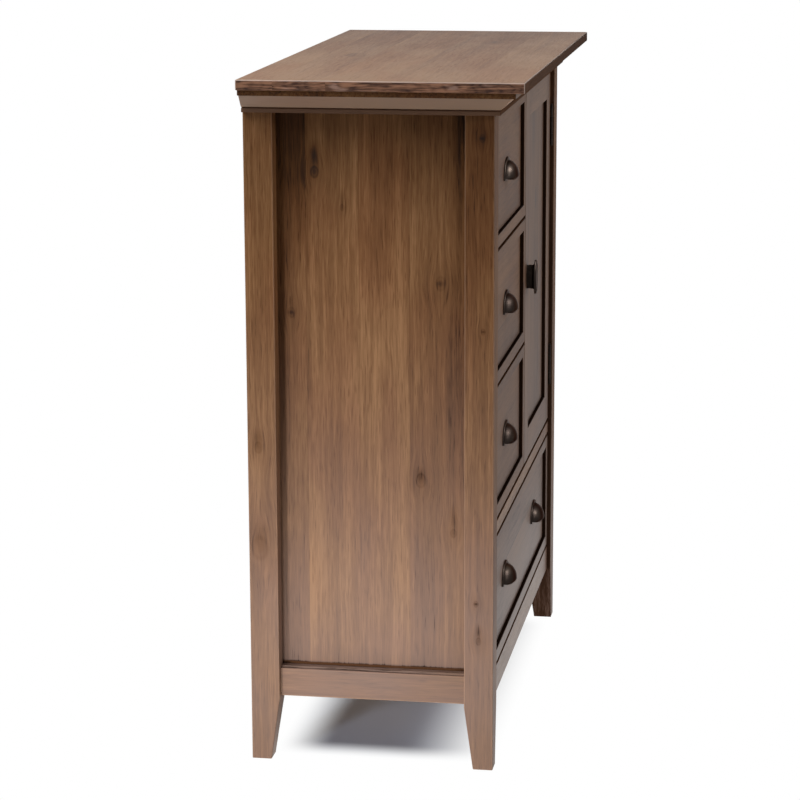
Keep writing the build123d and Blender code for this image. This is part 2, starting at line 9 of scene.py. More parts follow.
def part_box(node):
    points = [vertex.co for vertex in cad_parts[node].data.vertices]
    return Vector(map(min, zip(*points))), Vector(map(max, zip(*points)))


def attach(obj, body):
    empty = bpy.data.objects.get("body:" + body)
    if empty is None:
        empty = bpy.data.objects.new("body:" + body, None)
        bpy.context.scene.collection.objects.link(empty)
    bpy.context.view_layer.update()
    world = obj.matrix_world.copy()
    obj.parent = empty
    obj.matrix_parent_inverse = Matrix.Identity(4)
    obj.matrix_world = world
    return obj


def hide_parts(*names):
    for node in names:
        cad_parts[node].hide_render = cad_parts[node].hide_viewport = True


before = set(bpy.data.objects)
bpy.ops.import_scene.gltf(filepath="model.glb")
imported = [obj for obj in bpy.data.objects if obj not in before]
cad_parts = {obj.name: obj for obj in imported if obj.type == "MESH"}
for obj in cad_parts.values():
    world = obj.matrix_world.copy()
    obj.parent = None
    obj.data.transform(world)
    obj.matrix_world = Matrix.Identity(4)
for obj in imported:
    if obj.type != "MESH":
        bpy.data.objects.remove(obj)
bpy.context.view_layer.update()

# Camera
# The photograph was taken from the cabinet's left, a little in front and above its top,
# from about four metres with a long lens, so the side is seen square and the front at a slant.
camera_place = Vector((-4.39125, -0.67931, 1.45820))
camera_turn, camera_tilt, camera_roll = 0.16408, 0.21426, -0.00364
ahead = Vector((
    math.cos(camera_tilt) * math.cos(camera_turn),
    math.cos(camera_tilt) * math.sin(camera_turn),
    -math.sin(camera_tilt),
))
level = Vector((math.sin(camera_turn), -math.cos(camera_turn), 0))
upward = level.cross(ahead)
camera_right = level * math.cos(camera_roll) + upward * math.sin(camera_roll)
camera_top = upward * math.cos(camera_roll) - level * math.sin(camera_roll)
photo_camera = bpy.data.cameras.new("photo_camera")
photo_camera.sensor_width = 36
photo_camera.lens = 121.97
photo_camera.clip_end = 60
camera_object = bpy.data.objects.new("photo_camera", photo_camera)
camera_turned = Matrix((camera_right, camera_top, -ahead)).transposed().to_4x4()
camera_object.matrix_world = Matrix.Translation(camera_place) @ camera_turned
bpy.context.scene.collection.objects.link(camera_object)
bpy.context.scene.camera = camera_object

# Legs
# Four square posts of brown-stained hardwood, tapered on both inner faces at the foot. The stain
# sinks into the open pores and round the knots, and a satin lacquer lies over it.


class Level:
    """One output of a finish's nodes. Sums, products and comparisons with it add Math nodes."""

    def __init__(self, finish, out):
        self.finish, self.out = finish, out

    def math(self, operation, *values):
        return self.finish.node("ShaderNodeMath", {"operation": operation}, dict(enumerate(values)))

    def __add__(self, other):
        return self.math("ADD", self, other)

    def __radd__(self, other):
        return self.math("ADD", other, self)

    def __sub__(self, other):
        return self.math("SUBTRACT", self, other)

    def __rsub__(self, other):
        return self.math("SUBTRACT", other, self)

    def __mul__(self, other):
        return self.math("MULTIPLY", self, other)

    def __truediv__(self, other):
        return self.math("DIVIDE", self, other)

    def __gt__(self, other):
        return self.math("GREATER_THAN", self, other)

    def __lt__(self, other):
        return self.math("LESS_THAN", self, other)

    def __abs__(self):
        return self.math("ABSOLUTE", self)

    def least(self, other):
        return self.math("MINIMUM", self, other)

    def most(self, other):
        return self.math("MAXIMUM", self, other)

    def root(self):
        return self.math("SQRT", self)

    def fract(self):
        return self.math("FRACT", self)

    def rise(self, low, high):
        """0 below low, 1 above high, and a smooth step between them."""
        limits = {"Value": self, "From Min": low, "From Max": high}
        return self.finish.node("ShaderNodeMapRange", {"interpolation_type": "SMOOTHSTEP"}, limits)


class Finish:
    """A material in the making. Every node but Math comes from its method node."""

    def __init__(self, name):
        self.material = bpy.data.materials.new(name)
        self.material.use_nodes = True
        self.tree = self.material.node_tree
        self.tree.nodes.clear()

    def node(self, kind, settings=None, inputs=None, output=0):
        """Adds a node, sets it up, gives its sockets values or links, and returns an output."""
        made = self.tree.nodes.new(kind)
        for key, value in (settings or {}).items():
            if key == "stops":
                while len(made.color_ramp.elements) < len(value):
                    made.color_ramp.elements.new(1)
                for element, (place, colour) in zip(made.color_ramp.elements, value):
                    element.position, element.color = place, colour
            else:
                setattr(made, key, value)
        for key, value in (inputs or {}).items():
            if isinstance(value, Level):
                self.tree.links.new(value.out, made.inputs[key])
            else:
                made.inputs[key].default_value = value
        return Level(self, made.outputs[output]) if made.outputs else None

    def place(self):
        """The point on the piece, in metres, as three levels."""
        point = self.node("ShaderNodeTexCoord", output="Object")
        return [self.node("ShaderNodeSeparateXYZ", None, {0: point}, axis) for axis in range(3)]

    def vector(self, x, y, z):
        return self.node("ShaderNodeCombineXYZ", None, {0: x, 1: y, 2: z})

    def noise(self, point, stretch, detail, shift=(0, 0, 0)):
        """Cloudy noise from 0 to 1, with this many clouds to a metre along each axis."""
        mapping = {"Vector": point, "Scale": stretch, "Location": shift}
        scaled = self.node("ShaderNodeMapping", None, mapping)
        inputs = {"Vector": scaled, "Scale": 1.0, "Detail": detail, "Roughness": 0.55}
        return self.node("ShaderNodeTexNoise", None, inputs)

    def mix(self, share, first, second, blend="MIX"):
        """The first colour where share is 0, and the second, or its product, where it is 1."""
        settings = {"data_type": "RGBA", "blend_type": blend, "clamp_factor": True}
        return self.node("ShaderNodeMix", settings, {0: share, 6: first, 7: second}, 2)

    def bump(self, height, depth, strength):
        """Makes height, from 0 to 1, stand up by this depth in metres."""
        inputs = {"Strength": strength, "Distance": depth, "Height": height}
        return self.node("ShaderNodeBump", None, inputs)

    def surface(self, **inputs):
        """Closes the finish with one shader. Its sockets are named here with _ for a space."""
        named = {key.replace("_", " "): value for key, value in inputs.items()}
        return self.close(self.node("ShaderNodeBsdfPrincipled", None, named))

    def close(self, shader):
        self.node("ShaderNodeOutputMaterial", None, {"Surface": shader})
        return self.material


def shade(red, green, blue):
    """A colour as the eye reads it, from 0 to 255, turned into the light that it sends back.

    This is the usual curve for screens: a power of 2.4, with a straight foot up to 10.
    """
    foot, slope = 10, 12.92 * 255
    seen = (red, green, blue)
    light = [((c / 255 + 0.055) / 1.055) ** 2.4 if c > foot else c / slope for c in seen]
    return (*light, 1)


brown_stain = [
    (0.0, shade(152, 111, 74)),
    (0.3, shade(121, 83, 50)),
    (0.6, shade(92, 59, 31)),
    (0.82, shade(58, 35, 19)),
    (1.0, shade(33, 20, 12)),
]
rosy_tint = (1.07, 0.96, 0.98, 1)
# Painted sheen: the pale grey that the stain turns to towards the floor, as if it mirrored the
# white floor.
painted_floor_sheen = shade(149, 133, 127)
# The dull colours of glaze and painted shade: the thin one also on a drawer's joints, the thick one
# only where shade is painted in recesses.
thin_glaze_and_shade, thick_painted_shade = shade(84, 56, 38), shade(42, 27, 18)
end_pale, end_dark, end_dry = shade(172, 124, 96), shade(58, 34, 25), shade(200, 162, 144)
year_width = 0.018


def round_knots(length, width, wander, knots):
    """The width as the fibres bend round the knots, and how dark the knots make the wood.

    A knot is (along, across, radius, smear, weight). Fibres near it bend by a share of their
    distance from it, and its dark stain runs up the grain for the length of its smear.
    """
    bent = width + wander * 0.006
    stain = 0.0
    for along, across, radius, smear, *weight in knots:
        up = length - along
        aside = width - across
        ring = (up * up * 0.45 + aside * aside).root() + wander * radius
        near = 1 - ring.rise(0, radius * 6)
        bent = bent - aside * near * 0.55
        heart = 1 - ring.rise(radius * 0.3, radius * 1.2)
        rim = 1 - abs(ring - radius).rise(0, radius * 0.4)
        in_line = 1 - abs(aside + wander * radius).rise(0, radius * 1.8)
        trail = in_line * (1 - abs(up - smear / 2).rise(0, abs(smear) / 2 + radius))
        deposit = heart * 0.14 + rim * 0.10 + near * 0.08 + trail * 0.20
        stain = (deposit * (weight or [1.0])[0]).most(stain)
    return bent, stain


def sawn_wood(finish, width, depth, luck):
    """Colour of a sawn end: growth rings as arcs round the heart of the log, and open pores."""
    beside_heart = width + (luck[0] - 0.5) * 0.10
    above_heart = depth + 0.02 + luck[1] * 0.03
    from_heart = (beside_heart * beside_heart + above_heart * above_heart).root()
    ripple = finish.noise(finish.vector(width, depth, luck[2]), (24, 90, 1), 3.0)
    years = from_heart / year_width + ripple * 2.5
    slanted = finish.vector(width + depth * 3.0, depth, luck[1])
    pores = finish.noise(slanted, (26, 330, 1), 3.0)
    late = abs(years.fract() - 0.5).rise(0.15, 0.5) * 0.2 + pores.rise(0.36, 0.60) * 0.8
    colour = finish.mix(late, end_pale, end_dark)
    return finish.mix(ripple.rise(0.60, 0.75) * 0.6, colour, end_dry)


def near_edges(finish, low, high):
    """1 along the edges of the board between these corners, and 0 from 2 mm away from them.

    Of a point's distances from the faces on the three axes, the second smallest is nought only
    on an edge.
    """
    sides = zip(finish.place(), low, high)
    reach = [(far - near) / 2 - abs(at - (far + near) / 2) for at, near, far in sides]
    second = reach[0].least(reach[1]).most(reach[0].most(reach[1]).least(reach[2]))
    return 1 - second.rise(0.0003, 0.0022)


def grain(
    finish, length, width, depth, tones, seams=(), knots=(), seed=0.0, edge=None, tone=0.0,
    glaze_and_painted_shade=0.0, gloss=0.55, shine=0.12, relief=0.3, cut=None, rub=0.35, figure=1.0,
    wear=(188, 154, 128),
):
    """Colours a finish as stained wood: length runs with the grain.

    Fibres, flecks, streaks and clouds are noise drawn out along the grain. Seams (place, change of
    tone) part the width into boards, each from another part of a log. Towards the floor the stain
    turns paler and greyer, a painted sheen, and smoother. The glaze-and-shade level darkens the
    stain: a little real glaze, as in a drawer's joints, and mostly painted shade in corners,
    recesses and gaps, with no lacquer over it where it is thick. Figure is how strongly the grain
    shows. Edge holds the corners of the board whose edges are painted lighter, partly rubbed wear
    and partly a painted highlight, in the wear-and-highlight colour. Cut is 1 where the board's
    sawn end shows.
    """
    board = 0.0
    for seam, change in seams:
        beyond = width > seam
        board = beyond + board
        tone = beyond * change + tone
    draw = {"W": board * 1.7 + seed}
    chance = finish.node("ShaderNodeTexWhiteNoise", {"noise_dimensions": "1D"}, draw, "Color")
    luck = [finish.node("ShaderNodeSeparateColor", None, {0: chance}, part) for part in range(3)]
    wander = finish.noise(finish.vector(length, width, depth + seed), (4, 20, 20), 1.0) - 0.5
    bent, stain = round_knots(length, width, wander, knots)
    log_place = (length + luck[0] * 9, bent + luck[1] * 3, depth + luck[2] * 5 + seed)
    point = finish.vector(*log_place)
    fibre = finish.noise(point, (26, 500, 500), 2.0)
    fleck = finish.noise(point, (34, 640, 640), 1.0, (5, 2, 1)).rise(0.57, 0.72)
    streak = finish.noise(point, (5, 170, 170), 2.0, (3, 1, 7))
    band = finish.noise(point, (2.2, 42, 42), 2.0, (1, 9, 4))
    cloud = finish.noise(point, (4, 9, 9), 2.0, (8, 3, 2))
    lines = (fibre - 0.5) * 0.50 + (streak - 0.5) * 0.60 + (band - 0.5) * 0.62 + fleck * 0.20
    patches = (cloud - 0.5) * 0.55 + (luck[0] - 0.5) * 0.06
    dark = 0.28 + tone + glaze_and_painted_shade + stain + patches + lines * figure
    for seam, _ in seams:
        dark = dark + (1 - abs(width - seam).rise(0.0002, 0.0009)) * 0.10
    colour = finish.node("ShaderNodeValToRGB", {"stops": tones}, {0: dark})
    colour = finish.mix(cloud.rise(0.42, 0.62) * 0.5, colour, rosy_tint, "MULTIPLY")
    height = finish.place()[2]
    open_grain = (1 - dark.rise(0.6, 1.0)) * (1 - stain * 2.0)
    # Painted sheen: the stain paler and greyer towards the floor.
    floor_sheen_share = (1 - height.rise(0.0, 0.85)) * open_grain * (0.18 + cloud * 0.42)
    colour = finish.mix(floor_sheen_share, colour, painted_floor_sheen)
    if cut is not None:
        colour = finish.mix(cut, colour, sawn_wood(finish, width, depth, luck))
    if edge is not None:
        # Edges painted lighter: partly rubbed wear, partly a painted highlight on their eased
        # corners.
        worn_and_highlit = near_edges(finish, *edge) * (0.25 + cloud * 0.5) * rub
        colour = finish.mix(worn_and_highlit, colour, shade(*wear))
    uneven = (fibre - 0.5) * 0.5 + fleck * 0.2 + (cloud - 0.5) * 0.4
    polish = (1 - height.rise(0.12, 0.44)) * 0.19
    rough = gloss + glaze_and_painted_shade * 0.6 - polish + uneven * relief
    raised = finish.bump(fibre * 0.4 - fleck * 0.7 - streak * 0.2, 0.0002, relief)
    lacquer = {"Base Color": colour, "Roughness": rough, "Normal": raised}
    lacquer["Specular IOR Level"] = shine
    surface = finish.node("ShaderNodeBsdfPrincipled", None, lacquer)
    # Where the glaze-and-shade level is high, a dull dark surface without lacquer takes over:
    # mostly painted shade in recesses and gaps.
    if isinstance(glaze_and_painted_shade, Level):
        glaze_and_shade_colour = finish.mix(glaze_and_painted_shade.rise(0.72, 0.79), thin_glaze_and_shade, thick_painted_shade)
        dull = {"Base Color": glaze_and_shade_colour, "Roughness": 1.0, "Specular IOR Level": 0.0}
        dull_surface = finish.node("ShaderNodeBsdfPrincipled", None, dull)
        both = {0: glaze_and_painted_shade.rise(0.4, 0.75), 1: surface, 2: dull_surface}
        surface = finish.node("ShaderNodeMixShader", None, both)
    return finish.close(surface)


def seed_of(node):
    """A number of its own for each node, so that no two boards are alike."""
    return sum(map(ord, node)) * 0.137


def paint_board(node, along, across, tones, made=None, **habits):
    """Gives a CAD board its wood: along and across say which axes its grain and its width take.

    Made holds the habits that vary over the board, each as a function of its X, Y and Z levels.
    """
    finish = Finish(node + "_wood")
    levels = dict(zip("XYZ", finish.place()))
    through = ({"X", "Y", "Z"} - {along, across}).pop()
    low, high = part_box(node)
    habits.setdefault("edge", (low, high))
    for habit, make in (made or {}).items():
        habits[habit] = make(levels)
    middle = dict(zip("XYZ", (Vector(low) + Vector(high)) / 2))
    centred = [levels[axis] - middle[axis] for axis in (along, across, through)]
    material = grain(finish, *centred, tones, seed=seed_of(node), **habits)
    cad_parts[node].material_slots[0].material = material


def ease(node, width):
    """Welds a CAD board's triangles, joins the flat ones and rounds its edges as sanding does."""
    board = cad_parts[node]
    weld = board.modifiers.new("weld", "WELD")
    weld.merge_threshold = 0.00001
    flat = board.modifiers.new("flat", "DECIMATE")
    flat.decimate_type = "DISSOLVE"
    flat.angle_limit = math.radians(0.4)
    rounding = board.modifiers.new("rounding", "BEVEL")
    rounding.width = width
    rounding.segments = 2
    rounding.limit_method = "ANGLE"
    rounding.angle_limit = math.radians(35)
    rounding.harden_normals = True


leg_inner, leg_front = 0.3866, -0.1669
taper_top, taper_slope = 0.1, 0.14
leg_knots = {
    "front_left_leg": [
        (0.461, -0.004, 0.0035, 0), (0.17, -0.006, 0.003, 0),
        (-0.255, 0.004, 0.003, 0), (-0.315, 0, 0.004, 0.03),
    ],
    "back_left_leg": [(-0.02, 0.006, 0.006, 0.03), (-0.18, 0.004, 0.012, 0.04, 0.7)],
    "front_right_leg": [(0.2, 0.005, 0.004, 0)],
    "back_right_leg": [(-0.2, -0.005, 0.004, 0.02), (0.35, 0.008, 0.003, 0)],
}


def front_leg_painted_shade(at):
    """Painted shade: dark on the inner face of a front leg, and a little on its front face."""
    taper = (taper_top - at["Z"]).most(0) * taper_slope
    inner = (1 - (abs(at["X"]) - taper).rise(leg_inner, leg_inner + 0.0014)) * 0.55
    front = (1 - at["Y"].rise(leg_front, leg_front + 0.0007)) * 0.10
    return inner.most(front)


for leg, knots in leg_knots.items():
    in_front = leg.startswith("front")
    # A strong rub paints a highlight along the legs' eased edges.
    paint_board(
        leg, "Z", "Y", brown_stain, {"glaze_and_painted_shade": front_leg_painted_shade} if in_front else None,
        knots=knots, gloss=0.62, tone=0.08 if in_front else 0.02, rub=0.6,
    )
    ease(leg, 0.0014)

# Side panels
# Each side is a flat panel of boards glued edge to edge, let into grooves in the legs and rails
# without glue. Its boards differ a little in colour, and it has the cabinet's largest knots.
left_seams = ((-0.058, -0.08), (0.020, -0.03), (0.1015, 0.06))
left_knots = [
    (0.177, -0.105, 0.0065, 0), (0.127, 0.125, 0.005, 0), (0.343, 0.087, 0.006, 0.05, 2.4),
    (-0.130, -0.075, 0.006, 0.02), (-0.212, -0.125, 0.005, 0.05), (0.29, 0.045, 0.003, 0.03),
]
right_seams = ((-0.09, 0.05), (-0.01, -0.08), (0.07, 0.04))
right_knots = [(0.3, -0.05, 0.006, 0.04), (-0.1, 0.11, 0.007, 0), (-0.33, -0.1, 0.005, 0.05)]
rail_top, panel_top = 0.1475, 1.02
panel_middle, panel_half, panel_back = 0.0235, 0.122, 0.169


def panel_painted_shade(at):
    """Painted shade round a side panel: over the bottom rail, under the moulding, beside the legs,
    and in the back leg's shadow near the top.
    """
    line = (1 - at["Z"].rise(rail_top + 0.005, rail_top + 0.010)) * 0.6
    over_rail = line + (1 - at["Z"].rise(rail_top, rail_top + 0.0425)) * 0.12
    under_moulding = at["Z"].rise(panel_top - 0.16, panel_top) * 0.16
    near_back = at["Y"].rise(panel_back - 0.062, panel_back - 0.032)
    behind = near_back * at["Z"].rise(0.70, panel_top) * 0.42
    near_legs = abs(at["Y"] - panel_middle).rise(panel_half - 0.012, panel_half + 0.022)
    beside_legs = near_legs * (0.05 + at["Z"].rise(0.4, panel_top) * 0.25)
    return over_rail.most(under_moulding) + beside_legs.most(behind)


for side, seams, knots in (("left", left_seams, left_knots), ("right", right_seams, right_knots)):
    paint_board(
        side + "_side_panel", "Z", "Y", brown_stain, {"glaze_and_painted_shade": panel_painted_shade},
        seams=seams, knots=knots, edge=None, tone=0.06,
    )

# Rails
# The side rails run front to back between the legs, and the front and back rails run across.
# They are single boards, glued between the legs with their faces set back.
ledge_face, ledge_height = 0.4192, 0.140
drawer_gap_edges = (0.141, 0.3535, 0.3765)


def ledge_painted_shade(at):
    """Painted shade on the ledge behind a side rail's face, where the panel stands in its groove.
    """
    behind_face = 1 - abs(at["X"]).rise(ledge_face, ledge_face + 0.0012)
    return behind_face * at["Z"].rise(ledge_height, ledge_height + 0.002) * 0.4


for side in ("left", "right"):
    for place in ("bottom", "top"):
        # A strong rub paints a highlight along the rails' eased edges.
        paint_board(f"{side}_{place}_rail", "Y", "Z", brown_stain, {"glaze_and_painted_shade": ledge_painted_shade}, rub=0.8)
        ease(f"{side}_{place}_rail", 0.0012)


def gap_painted_shade(at):
    """Painted shade in the gaps by the drawers: on top of the bottom rail and on both edges of the
    middle rail.
    """
    heights = [abs(at["Z"] - edge) for edge in drawer_gap_edges]
    nearest = heights[0].least(heights[1]).least(heights[2])
    return (1 - nearest.rise(0.0014, 0.0024)) * 0.7


front_rails = ("front_top_rail", "front_middle_rail", "front_bottom_rail")
for rail in (*front_rails, "back_top_rail", "back_bottom_rail"):
    paint_board(rail, "X", "Z", brown_stain, {"glaze_and_painted_shade": gap_painted_shade} if rail in front_rails else None)
    ease(rail, 0.0012)

# Inside boards
# The partition, the cupboard floor, the shelf and the plywood back carry the same stain, thinner
# and more even.
inner_tones = [
    (0.0, shade(176, 134, 94)),
    (0.4, shade(150, 110, 74)),
    (0.7, shade(122, 86, 56)),
    (1.0, shade(70, 46, 30)),
]
partition_seams = ((-0.09, 0.05), (0.05, -0.07))
cupboard_floor_seams = ((-0.1, 0.05), (0.01, -0.06), (0.11, 0.04))
shelf_seams = ((-0.07, -0.05), (0.06, 0.05))
paint_board("partition", "Z", "Y", inner_tones, seams=partition_seams, edge=None)
paint_board("cupboard_floor", "X", "Y", inner_tones, seams=cupboard_floor_seams, edge=None)
paint_board("shelf", "X", "Y", inner_tones, seams=shelf_seams)
paint_board("back_panel", "Z", "X", inner_tones, edge=None)
for board in ("partition", "shelf"):
    ease(board, 0.0008)

# Top
# The top is glued up from boards that run from side to side, with all its edges eased, and lies
# on a thinner board that shows as a dark step, its stain darkened as painted shade under the
# top's overhang.
top_seams = ((-0.13, 0.05), (-0.02, -0.06), (0.08, 0.04), (0.16, -0.05))
top_knots = [(0.22, -0.08, 0.006, 0.04), (-0.05, 0.12, 0.007, 0.05)]
top_low, top_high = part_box("top_panel")
end_face, front_face = 0.4692, -0.2157


def sawn_end(at):
    """1 on both ends of the top, where its boards were sawn across."""
    return abs(at["X"]) > end_face


def top_front_painted_shade(at):
    """Painted shade on the front edge of the top."""
    return (1 - at["Y"].rise(front_face, front_face + 0.0012)) * 0.60


def top_painted_falloff(at):
    """Painted light: the top's stain is paler at its left end, nearer the lamps, than at its right.
    """
    return at["X"] * 0.40 - 0.13


# The top's edges are painted near white: a painted highlight on their eased corners.
paint_board(
    "top_panel", "X", "Y", brown_stain, {"cut": sawn_end, "tone": top_painted_falloff, "glaze_and_painted_shade": top_front_painted_shade},
    seams=top_seams, knots=top_knots, rub=1.9, gloss=0.53, shine=0.25, figure=0.6,
    wear=(236, 212, 198), edge=((top_low[0], top_low[1], 0.0), top_high),
)
# The darker tone is painted shade under the top's overhang.
paint_board("sub_top", "X", "Y", brown_stain, edge=None, tone=0.26)
ease("sub_top", 0.0006)

# Moulding
# A run moulding with a flat bead at its foot goes round the front and both sides under the top. It
# is mitred at the front corners, and hides the joint between the top and the cabinet.
bead_top = 1.0262


def bead_painted_shade(at):
    """Painted shade on the flat bead at the foot of the moulding and in the quirk over it."""
    return (1 - at["Z"].rise(bead_top, bead_top + 0.0008)) * 0.58


# The mouldings' stain is paler than the other boards': a painted sheen where they face down to the
# white floor.
for moulding, along in (("cornice_left", "Y"), ("cornice_right", "Y"), ("cornice_front", "X")):
    gloss, shine = (0.62, 0.2) if along == "X" else (0.36, 1.0)
    paint_board(
        moulding, along, "Z", brown_stain, {"glaze_and_painted_shade": bead_painted_shade},
        edge=None, tone=-0.30, gloss=gloss, shine=shine, figure=0.5,
    )
    ease(moulding, 0.0006)

# Drawers
# Each front is a flat board with four mitred strips planted round its face. The box behind is
# of plain pine, and a plywood bottom slides in grooves on all four sides.
box_tones = [
    (0.0, shade(214, 184, 140)),
    (0.45, shade(198, 163, 117)),
    (0.8, shade(170, 130, 86)),
    (1.0, shade(120, 82, 50)),
]
# The tone darkens the stain of the fronts, door included, below the sides': painted shade on the
# fronts.
front_habits = {"relief": 0.08, "shine": 0.25, "tone": 0.34, "figure": 0.4}
narrow_front_gloss, wide_front_gloss = 0.675, 0.62
finger_pitch, box_wall = 0.024, 0.01205


def in_corners(depth, front, back):
    """1 on the edges of a front board, behind the eased corner of its face and before its back."""
    eased, full = 0.0004, 0.0012
    return depth.rise(front + eased, front + full) * (1 - depth.rise(back - full, back - eased))


def paint_strips(node, gloss):
    """Wood for four mitred strips: the grain turns where the mitres, at 45 degrees, part them."""
    finish = Finish(node + "_wood")
    x, y, z = finish.place()
    low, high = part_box(node)
    mid_x, mid_z = (low[0] + high[0]) / 2, (low[2] + high[2]) / 2
    from_side = (high[0] - low[0]) / 2 - abs(x - mid_x)
    from_end = (high[2] - low[2]) / 2 - abs(z - mid_z)
    upright = from_side < from_end
    length = x + upright * (z - x) + (z > mid_z) * 1.3 + (x > mid_x) * upright * 2.1
    width = z + upright * (x - z)
    # Painted shade: the strips' outer edges and the recess walls inside them are stained dark and
    # left without lacquer.
    outline = 1 - from_side.least(from_end).rise(0.0014, 0.0024)
    board_behind = high[1] + 0.002
    inside = in_corners(y, low[1], board_behind) * 0.8
    glaze_and_painted_shade = inside.least(0.8 - outline * 0.1).most(outline * 0.7)
    habits = {"seed": seed_of(node), "gloss": gloss, "glaze_and_painted_shade": glaze_and_painted_shade}
    material = grain(finish, length, width, y, brown_stain, **habits, **front_habits)
    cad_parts[node].material_slots[0].material = material


def paint_box(node):
    """Wood for a drawer's four walls: the grain runs along each wall, and turns at the corners.

    The corners are finger joints, so darker end wood shows in every second finger of the sides.
    """
    finish = Finish(node + "_wood")
    x, y, z = finish.place()
    low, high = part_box(node)
    mid_x = (low[0] + high[0]) / 2
    side_wall = abs(x - mid_x) > (high[0] - low[0]) / 2 - box_wall
    rear = y > (low[1] + high[1]) / 2
    length = x + side_wall * (y - x) + (x > mid_x) * side_wall * 1.7 + rear * (1 - side_wall) * 2.3
    joint = side_wall * ((y < low[1] + box_wall) + (y > high[1] - box_wall))
    finger = ((z - low[2]) / finger_pitch).fract() < 0.5
    edges = 0.5 - abs(((z - low[2]) / (finger_pitch / 2)).fract() - 0.5)
    end_wood = joint * finger
    glue_line = joint * (1 - edges.rise(0.02, 0.06))
    length = length + end_wood * 3.1
    habits = {"seed": seed_of(node), "glaze_and_painted_shade": end_wood * 0.22 + glue_line * 0.3}
    material = grain(finish, length, z, y, box_tones, **habits)
    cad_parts[node].material_slots[0].material = material


for drawer in ("upper_drawer", "middle_drawer", "lower_drawer", "wide_drawer"):
    seams, gloss = ((-0.03, -0.05),), narrow_front_gloss
    if drawer == "wide_drawer":
        seams, gloss = ((0.02, 0.05),), wide_front_gloss
    habits = {"seams": seams, "edge": None, "gloss": gloss, **front_habits}
    paint_board(drawer + "_front", "X", "Z", brown_stain, **habits)
    paint_strips(drawer + "_frame", gloss)
    ease(drawer + "_frame", 0.0009)
    paint_box(drawer + "_box")
    paint_board(drawer + "_bottom", "Y", "X", box_tones, edge=None)

# Door
# A frame of two stiles and two rails, tongued together at the corners, round a flat panel
# that is free to swell in their grooves.
door_face, door_back = -0.160, -0.140
door_middle_x, door_middle_z = 0.2036, 0.69675
door_side, door_end = 0.1796, 0.3156
door_seams = ((-0.05, 0.05), (0.06, -0.05))
door_knots = [(0.1, 0.02, 0.006, 0.03)]
door_habits = {"gloss": 0.595, **front_habits}


def door_painted_shade(at):
    """Painted shade on the edges round the panel, and a little less on the door's outer edges."""
    beside = abs(at["X"] - door_middle_x) > door_side
    outer = beside.most(abs(at["Z"] - door_middle_z) > door_end)
    return in_corners(at["Y"], door_face, door_back) * (0.8 - outer * 0.1)


for stile in ("door_hinge_stile", "door_knob_stile"):
    paint_board(stile, "Z", "X", brown_stain, {"glaze_and_painted_shade": door_painted_shade}, **door_habits)
    ease(stile, 0.0010)
paint_board("door_rails", "X", "Z", brown_stain, {"glaze_and_painted_shade": door_painted_shade}, edge=None, **door_habits)
ease("door_rails", 0.0006)
paint_board(
    "door_panel", "Z", "X", brown_stain,
    seams=door_seams, knots=door_knots, edge=None, **door_habits,
)

# Fittings
# The pulls, the knob and the hinges are cast and pressed metal with an oil-rubbed bronze finish,
# nearly black and a little brown where hands have polished it.


def bronze(name):
    """Dark brown metal, a little lighter where hands have rubbed it."""
    finish = Finish(name)
    point = finish.vector(*finish.place())
    cloud = finish.noise(point, (60, 60, 60), 3.0)
    speck = finish.noise(point, (900, 900, 900), 2.0)
    rubbed = cloud.rise(0.45, 0.75)
    colour = finish.mix(rubbed, shade(38, 32, 29), shade(54, 47, 42))
    return finish.surface(
        Base_Color=colour, Roughness=0.34 + (1 - rubbed) * 0.05 + (speck - 0.5) * 0.08,
        Metallic=1.0, Normal=finish.bump(speck, 0.0002, 0.08), Specular_Tint=(0.45, 0.40, 0.38, 1),
    )


def steel(name):
    """Zinc-plated steel, drawn along its length, a little cloudy."""
    finish = Finish(name)
    point = finish.vector(*finish.place())
    flow = finish.noise(point, (400, 8, 400), 2.0)
    cloud = finish.noise(point, (25, 25, 25), 2.0)
    colour = finish.mix(cloud, shade(146, 148, 147), shade(176, 176, 170))
    return finish.surface(Base_Color=colour, Roughness=0.30 + (flow - 0.5) * 0.2, Metallic=1.0)


bronze_finish = bronze("dark_bronze")
steel_finish = steel("zinc_steel")
sharp_turn = math.radians(38)


def form(name, sheets, finish, body):
    """One piece from sheets of points, in millimetres.

    A sheet is rows x columns x 3 points; its columns close into rings, and its first and last row
    are closed by a flat face where they are no single point. The piece is smooth except where two
    faces meet at more than the sharp turn.
    """
    points, faces = [], []
    for sheet in sheets:
        rows, columns = sheet.shape[:2]
        start = sum(map(len, points))
        row, column = np.mgrid[: rows - 1, :columns]
        after = (column + 1) % columns
        this_row, next_row = start + row * columns, start + (row + 1) * columns
        corners = (this_row + column, this_row + after, next_row + after, next_row + column)
        faces += np.stack(corners, -1).reshape(-1, 4).tolist()
        for ring in (start, start + (rows - 1) * columns):
            faces.append(list(range(ring, ring + columns)))
        points.append(sheet.reshape(-1, 3))
    mesh = bpy.data.meshes.new(name)
    mesh.from_pydata((np.concatenate(points) / 1000).tolist(), [], faces)
    work = bmesh.new()
    work.from_mesh(mesh)
    bmesh.ops.remove_doubles(work, verts=work.verts, dist=0.000002)
    bmesh.ops.recalc_face_normals(work, faces=work.faces)
    work.to_mesh(mesh)
    work.free()
    mesh.polygons.foreach_set("use_smooth", [True] * len(mesh.polygons))
    mesh.set_sharp_from_angle(angle=sharp_turn)
    mesh.materials.append(finish)
    piece = bpy.data.objects.new(name, mesh)
    bpy.context.scene.collection.objects.link(piece)
    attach(piece, body)
    return piece


